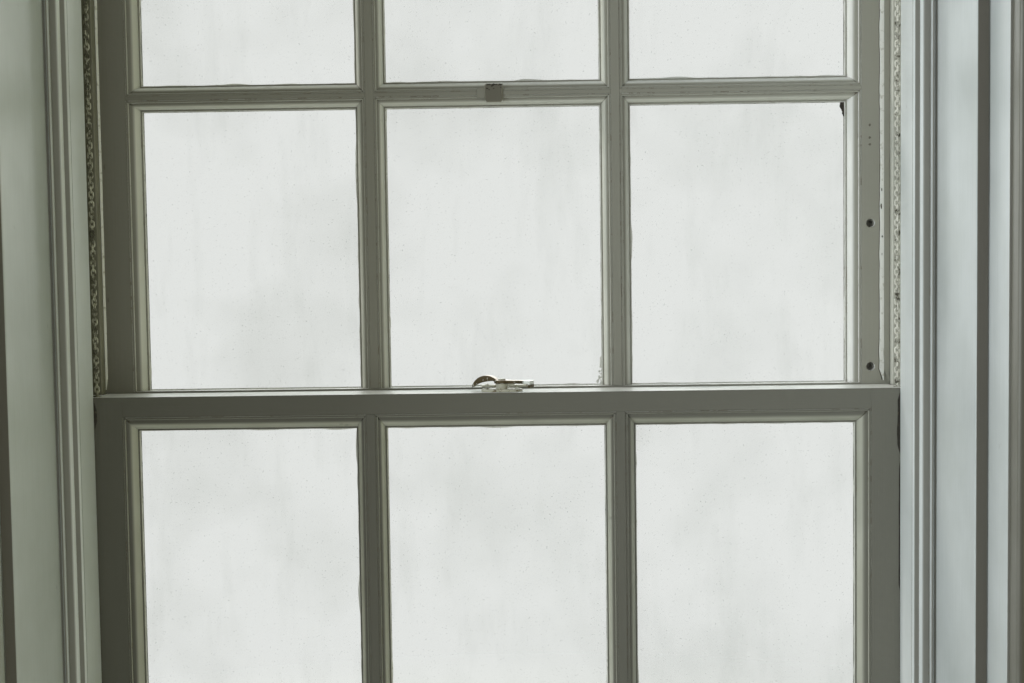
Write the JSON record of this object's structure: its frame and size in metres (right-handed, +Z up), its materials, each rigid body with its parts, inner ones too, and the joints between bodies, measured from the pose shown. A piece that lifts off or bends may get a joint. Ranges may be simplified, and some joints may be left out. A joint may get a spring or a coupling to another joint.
{
  "type": "sash window",
  "caption": "Double-hung wooden sash window in a box frame, with balancing weights, chains, pulleys, a sash lock, inside lining, architrave and window board.",
  "frame": {"origin": "middle of the sill's underside, below the plane of the lower sash's room face", "axes": "+X to the right seen from the room, +Y from the room towards the outdoors, +Z up"},
  "size_m": [1.202, 0.4567, 1.67],
  "materials": {
    "painted_trim": "satin",
    "painted_sash": "satin",
    "painted_sill": "satin",
    "painted_board": "satin",
    "bare_softwood": "matte",
    "window_glass": "gloss",
    "glazing_putty": "matte",
    "chain_steel": "satin",
    "pulley_plate": "satin",
    "pulley_iron": "satin",
    "weight_iron": "matte",
    "lock_brass": "satin",
    "painted_lock": "satin"
  },
  "bodies": {
    "window_frame": {"sill": "painted_sill", "head_jamb": "painted_trim", "pulley_stile_left": "painted_trim", "pulley_stile_right": "painted_trim", "pocket_covers": "bare_softwood", "weight_dividers": "bare_softwood", "back_lining_left": "bare_softwood", "back_lining_right": "bare_softwood", "parting_bead_left": "painted_trim", "parting_bead_right": "painted_trim", "parting_bead_head": "painted_trim", "outer_lining_left": "painted_trim", "outer_lining_right": "painted_trim", "outer_lining_head": "painted_trim", "inner_lining_left": "painted_trim", "inner_lining_right": "painted_trim", "inner_lining_head": "painted_trim", "inside_stop_left": "painted_trim", "inside_stop_right": "painted_trim", "inside_stop_head": "painted_trim", "reveal_lining_left": "painted_trim", "reveal_lining_right": "painted_trim", "reveal_lining_head": "painted_trim", "casing_left": "painted_trim", "casing_right": "painted_trim", "casing_head": "painted_trim", "casing_grounds": "painted_trim", "window_board": "painted_board", "pulley_frames": "pulley_plate", "lower_sash_chains": "chain_steel", "upper_sash_chains": "chain_steel"},
    "lower_sash": {"lower_stile_left": "painted_sash", "lower_stile_right": "painted_sash", "lower_meeting_rail": "painted_sash", "lower_bottom_rail": "painted_sash", "lower_bar_left": "painted_sash", "lower_bar_right": "painted_sash", "lower_cross_bars": "painted_sash", "lower_panes": "window_glass", "lower_putty": "glazing_putty", "lock_base": "painted_lock"},
    "upper_sash": {"upper_stile_left": "painted_sash", "upper_stile_right": "painted_sash", "upper_top_rail": "painted_sash", "upper_meeting_rail": "painted_sash", "upper_bar_left": "painted_sash", "upper_bar_right": "painted_sash", "upper_cross_bars": "painted_sash", "upper_panes": "window_glass", "upper_putty": "glazing_putty", "lock_keeper": "painted_lock"},
    "lock_lever": {"lock_lever": "lock_brass"},
    "lower_pulley_wheel_left": {"lower_pulley_wheel_left": "pulley_iron"},
    "lower_sash_weight_left": {"lower_sash_weight_left": "weight_iron"},
    "lower_pulley_wheel_right": {"lower_pulley_wheel_right": "pulley_iron"},
    "lower_sash_weight_right": {"lower_sash_weight_right": "weight_iron"},
    "upper_pulley_wheel_left": {"upper_pulley_wheel_left": "pulley_iron"},
    "upper_sash_weight_left": {"upper_sash_weight_left": "weight_iron"},
    "upper_pulley_wheel_right": {"upper_pulley_wheel_right": "pulley_iron"},
    "upper_sash_weight_right": {"upper_sash_weight_right": "weight_iron"}
  },
  "joints": [
    {"name": "lower_sash_slide", "type": "slide", "parent": "window_frame", "child": "lower_sash", "axis": [0, 0, 1], "range_m": [0, 0.57], "deforming": ["lower_sash_chains"]},
    {"name": "upper_sash_slide", "type": "slide", "parent": "window_frame", "child": "upper_sash", "axis": [0, 0, -1], "range_m": [0, 0.57], "deforming": ["upper_sash_chains"]},
    {"name": "lock_lever_turn", "type": "hinge", "parent": "lower_sash", "child": "lock_lever", "pos_m": [0.007, 0.022, 0.84], "axis": [0, 0, 1], "range_deg": [0, 90]},
    {"name": "lower_pulley_wheel_left_turn", "type": "hinge", "parent": "window_frame", "child": "lower_pulley_wheel_left", "pos_m": [-0.472, 0.0175, 1.429], "axis": [0, 1, 0], "range_deg": [-1167, 0]},
    {"name": "lower_sash_weight_left_slide", "type": "slide", "parent": "window_frame", "child": "lower_sash_weight_left", "axis": [0, 0, -1], "range_m": [0, 0.571]},
    {"name": "lower_pulley_wheel_right_turn", "type": "hinge", "parent": "window_frame", "child": "lower_pulley_wheel_right", "pos_m": [0.472, 0.0175, 1.429], "axis": [0, 1, 0], "range_deg": [0, 1167]},
    {"name": "lower_sash_weight_right_slide", "type": "slide", "parent": "window_frame", "child": "lower_sash_weight_right", "axis": [0, 0, -1], "range_m": [0, 0.571]},
    {"name": "upper_pulley_wheel_left_turn", "type": "hinge", "parent": "window_frame", "child": "upper_pulley_wheel_left", "pos_m": [-0.472, 0.0672, 1.429], "axis": [0, 1, 0], "range_deg": [0, 1167]},
    {"name": "upper_sash_weight_left_slide", "type": "slide", "parent": "window_frame", "child": "upper_sash_weight_left", "axis": [0, 0, 1], "range_m": [0, 0.571]},
    {"name": "upper_pulley_wheel_right_turn", "type": "hinge", "parent": "window_frame", "child": "upper_pulley_wheel_right", "pos_m": [0.472, 0.0672, 1.429], "axis": [0, 1, 0], "range_deg": [-1167, 0]},
    {"name": "upper_sash_weight_right_slide", "type": "slide", "parent": "window_frame", "child": "upper_sash_weight_right", "axis": [0, 0, 1], "range_m": [0, 0.571]}
  ],
  "couplings": [
    {"joint": "lower_pulley_wheel_left_turn", "follows": "lower_sash_slide", "rad_per_m": -35.714},
    {"joint": "lower_sash_weight_left_slide", "follows": "lower_sash_slide", "ratio": 1},
    {"joint": "lower_pulley_wheel_right_turn", "follows": "lower_sash_slide", "rad_per_m": 35.714},
    {"joint": "lower_sash_weight_right_slide", "follows": "lower_sash_slide", "ratio": 1},
    {"joint": "upper_pulley_wheel_left_turn", "follows": "upper_sash_slide", "rad_per_m": 35.714},
    {"joint": "upper_sash_weight_left_slide", "follows": "upper_sash_slide", "ratio": 1},
    {"joint": "upper_pulley_wheel_right_turn", "follows": "upper_sash_slide", "rad_per_m": -35.714},
    {"joint": "upper_sash_weight_right_slide", "follows": "upper_sash_slide", "ratio": 1}
  ]
}
